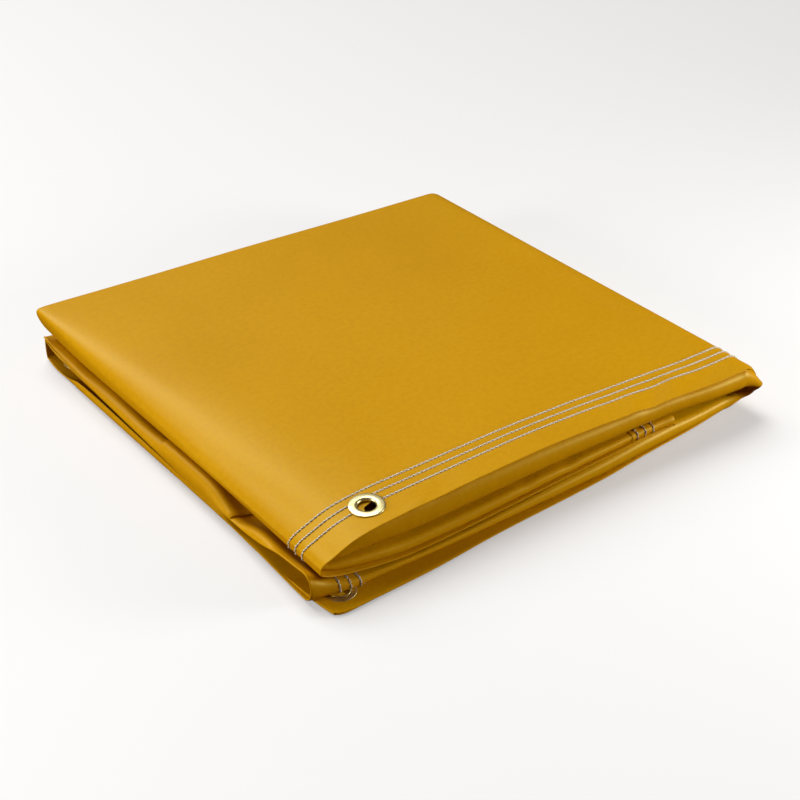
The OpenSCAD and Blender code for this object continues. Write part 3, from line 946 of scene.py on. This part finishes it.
def outside_flanges(path):
    """Runs of a path that keep clear of every grommet flange."""
    ok = np.ones(len(path), bool)
    for _, _, c, _, _ in GROMMETS:
        d = path - c
        ok &= ~((np.hypot(d[:, 0], d[:, 1]) < FLANGE_R) & (np.abs(d[:, 2]) < FLANGE_REACH))
    runs, start = [], None
    for i, good in enumerate(ok):
        if good and start is None:
            start = i
        if (not good or i == len(ok) - 1) and start is not None:
            stop = i if not good else i + 1
            if stop - start > SHORTEST:
                runs.append((start, stop))
            start = None
    return runs


def cross_rows(us, side):
    """Rows along the top hem (side 1) or the base hem (side -1), both faces."""
    start = 14.0 if side < 0 and us[0] == 0 else 1.0
    fine = np.arange(us[0] + start, us[-1] - 0.3, 0.9)
    rows = []
    for r in ROWS:
        if side > 0:
            kap, y = 1.0 + 0 * fine, hem_edge(fine) + r
        else:
            kap, y = 5.0 + 0 * fine, YE - r + 0 * fine
        p = place(fine, kap, y)
        q = place(fine, kap, y + 1.0)
        n = unit(np.cross(np.gradient(p, axis=0), q - p))
        for face, lift in FACES:
            for a, b in outside_flanges(p):
                sides, per = (6, 5) if face < 0 and side > 0 else (4, 4)
                rows.append(stitch_row(p[a:b], n[a:b] * face, fine[a:b], lift, sides, per))
    return rows


def end_rows(free, sign):
    """Rows along the hem of a free end, both faces."""
    rows = []
    for r in ROWS:
        path = np.array([free + sign * (r - 1), free + sign * r, free + sign * (r + 1)])
        g = sheet_grid(path)
        n = normals(g)[1] * sign
        for face, lift in FACES:
            for a, b in outside_flanges(g[1][BARE[0]:-BARE[1]]):
                a, b = a + BARE[0], b + BARE[0]
                rows.append(stitch_row(g[1][a:b], n[a:b] * face, np.full(b - a, path[1]), lift,
                                       4, 4))
    return rows


thread_m = join_rows("outer_top_stitching", cross_rows(UM, 1))
finish_piece(thread_m, THREAD, "thread", "bottom_top_seam", "outer_fold_top_seam",
             "top_leaf_seam", "inner_fold_top_seam")
thread_k = join_rows("tucked_top_stitching", cross_rows(UK, 1))
finish_piece(thread_k, THREAD, "thread", "tucked_top_seam")
thread_bm = join_rows("outer_base_stitching", cross_rows(UM, -1))
finish_piece(thread_bm, THREAD, "thread", "bottom_base_seam", "outer_fold_base_seam",
             "top_leaf_base_seam", "inner_fold_base_seam")
thread_bk = join_rows("tucked_base_stitching", cross_rows(UK, -1))
finish_piece(thread_bk, THREAD, "thread", "tucked_base_seam")
thread_em = join_rows("bottom_end_stitching", end_rows(0.0, 1))
finish_piece(thread_em, THREAD, "thread", "bottom_end_seam")
thread_ek = join_rows("tucked_end_stitching", end_rows(U5, -1))
finish_piece(thread_ek, THREAD, "thread", "tucked_end_seam")


# ---------------------------------------------------------------------- grommets
def lathe(name, profile, centre, nrm, wobble, seg=64):
    """Turned part: profile of (radius, height), height along the normal."""
    z = nrm / np.linalg.norm(nrm)
    x = np.cross([0, 1, 0], z)
    x /= np.linalg.norm(x)
    y = np.cross(z, x)
    ang = np.linspace(0, 2 * math.pi, seg, endpoint=False)
    prof = np.array(profile, float)
    rim = 1 + wobble * (np.sin(3 * ang + 0.6) + 0.6 * np.sin(7 * ang + 2.0))
    r = prof[:, 0][:, None] * rim[None, :]
    pts = (centre + r[..., None] * (np.cos(ang)[None, :, None] * x + np.sin(ang)[None, :, None] * y)
           + prof[:, 1][:, None, None] * z)
    n = len(prof)
    i, j = np.meshgrid(np.arange(n), np.arange(seg), indexing="ij")
    a = i * seg + j
    c = i * seg + (j + 1) % seg
    e = ((i + 1) % n) * seg + (j + 1) % seg
    g = ((i + 1) % n) * seg + j
    return make(name, pts.reshape(-1, 3), np.stack([a, g, e, c], 2).reshape(-1, 4))


EYELET = [(12.7, -0.28), (12.62, -0.58), (12.2, -0.78), (11.3, -0.86), (10.2, -0.98),
          (9.0, -1.06), (8.0, -1.02), (7.1, -0.78), (6.55, -0.3), (6.38, 0.3), (6.35, 1.0),
          (6.4, 1.5), (6.7, 1.86), (7.4, 2.02), (8.1, 1.9), (8.3, 1.62), (7.6, 1.55),
          (7.05, 1.3), (6.98, 0.5), (7.1, -0.05), (9.0, -0.12), (12.2, -0.06)]
WASHER = [(7.15, 0.95), (7.3, 1.32), (9.0, 1.5), (11.2, 1.42), (11.9, 1.2), (12.0, 0.98),
          (11.8, 0.86), (9.5, 0.88)]

for label, leaf, centre, nrm, _ in GROMMETS:
    e = lathe("eyelet_" + label, EYELET, centre, nrm, 0.002)
    w = lathe("washer_" + label, WASHER, centre, nrm, 0.006)
    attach(e, leaf)
    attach(w, leaf)
    group = leaf.split("_")[0]
    tail = "" if group == "top" else "s"
    finish_piece(e, BRASS, "brass", f"{group}_eyelet{tail}")
    finish_piece(w, BRASS_W, "brass_washer", f"{group}_washer{tail}")

# -------------------------------------------------------------- bodies for the end hems; the other pieces only get their transforms baked
for o in (outer_sheet, top_hem_m, base_hem_m, thread_m, thread_bm):
    hinge(o, outer_turn)
for o in (tucked_sheet, top_hem_k, base_hem_k, thread_k, thread_bk):
    hinge(o, inner_turn)
for o in (end_hem_m, thread_em):
    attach(o, "bottom_leaf")
for o in (end_hem_k, thread_ek):
    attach(o, "tucked_leaf")

# ------------------------------------------------------------- floor and lights
floor_mesh = bpy.data.meshes.new("floor")
floor_mesh.from_pydata([(-6, -6, 0), (6, -6, 0), (6, 6, 0), (-6, 6, 0)], [], [(0, 1, 2, 3)])
floor = bpy.data.objects.new("floor", floor_mesh)
bpy.context.collection.objects.link(floor)
floor.location.z = -0.0002


def floor_paper():
    """Pale where the camera sees it; what it throws on the part is dark and warm instead."""
    mat = bpy.data.materials.new("floor_paper")
    nt, paper = nodes_of(mat)
    paper.inputs["Base Color"].default_value = (0.62, 0.62, 0.62, 1)
    paper.inputs["Roughness"].default_value = 0.9
    paper.inputs["Specular IOR Level"].default_value = 0.1
    bounce = node(nt, "BsdfDiffuse")
    bounce.inputs["Color"].default_value = (0.15, 0.05, 0.012, 1)
    ray = node(nt, "LightPath")
    pick = node(nt, "MixShader")
    link(nt, ray.outputs["Is Camera Ray"], pick.inputs[0])
    link(nt, bounce.outputs[0], pick.inputs[1])
    glow = node(nt, "Emission", Strength=0.34)             # keeps the paper pale to the camera
    both = node(nt, "AddShader")
    link(nt, paper.outputs[0], both.inputs[0])
    link(nt, glow.outputs[0], both.inputs[1])
    link(nt, both.outputs[0], pick.inputs[2])
    link(nt, pick.outputs[0], [n for n in nt.nodes if n.type == "OUTPUT_MATERIAL"][0].inputs[0])
    return mat


floor.data.materials.append(floor_paper())


def studio_world():
    """Dim warm light all round, with pale grey behind it for the camera."""
    world = bpy.data.worlds.new("world")
    world.use_nodes = True
    tree = world.node_tree
    around = tree.nodes["Background"]
    around.inputs[0].default_value = (1, 0.80, 0.58, 1)
    around.inputs[1].default_value = 0.10
    seen = node(tree, "Background")                        # what the camera sees past the floor
    seen.inputs[0].default_value = (0.88, 0.88, 0.88, 1)
    seen.inputs[1].default_value = 1.0
    ray = node(tree, "LightPath")
    pick = node(tree, "MixShader")
    link(tree, ray.outputs["Is Camera Ray"], pick.inputs[0])
    link(tree, around.outputs[0], pick.inputs[1])
    link(tree, seen.outputs[0], pick.inputs[2])
    link(tree, pick.outputs[0], tree.nodes["World Output"].inputs[0])
    return world


bpy.context.scene.world = studio_world()


def area(name, at, to, size, power, size_y=None):
    """Rectangular light at one point, turned to another."""
    data = bpy.data.lights.new(name, "AREA")
    data.shape = "RECTANGLE"
    data.size, data.size_y = size, size_y or size
    data.energy = power
    o = bpy.data.objects.new(name, data)
    bpy.context.collection.objects.link(o)
    o.location = at
    o.rotation_euler = (Vector(at) - Vector(to)).to_track_quat("Z", "Y").to_euler()
    return o


area("key_back", (-0.42, 1.55, 1.30), (-0.1, 0.05, 0.03), 1.1, 9.0, 0.8)
area("key_left", (-1.5, 0.25, 0.45), (-0.2, 0.05, 0.03), 0.8, 13.0, 0.5)
fill = area("right_fill", (0.82, -0.72, 0.24), (0.18, -0.2, 0.03), 0.5, 3.0, 0.22)
fill.data.spread = math.radians(110)
sun = bpy.data.lights.new("overhead", "SUN")
sun.energy, sun.angle = 1.84, math.radians(36)
above = bpy.data.objects.new("overhead", sun)
bpy.context.collection.objects.link(above)
above.rotation_euler = (math.radians(-31), math.radians(6), 0)

scene = bpy.context.scene
scene.view_settings.view_transform = "Standard"
scene.view_settings.look = "None"
scene.view_settings.exposure = 0.0
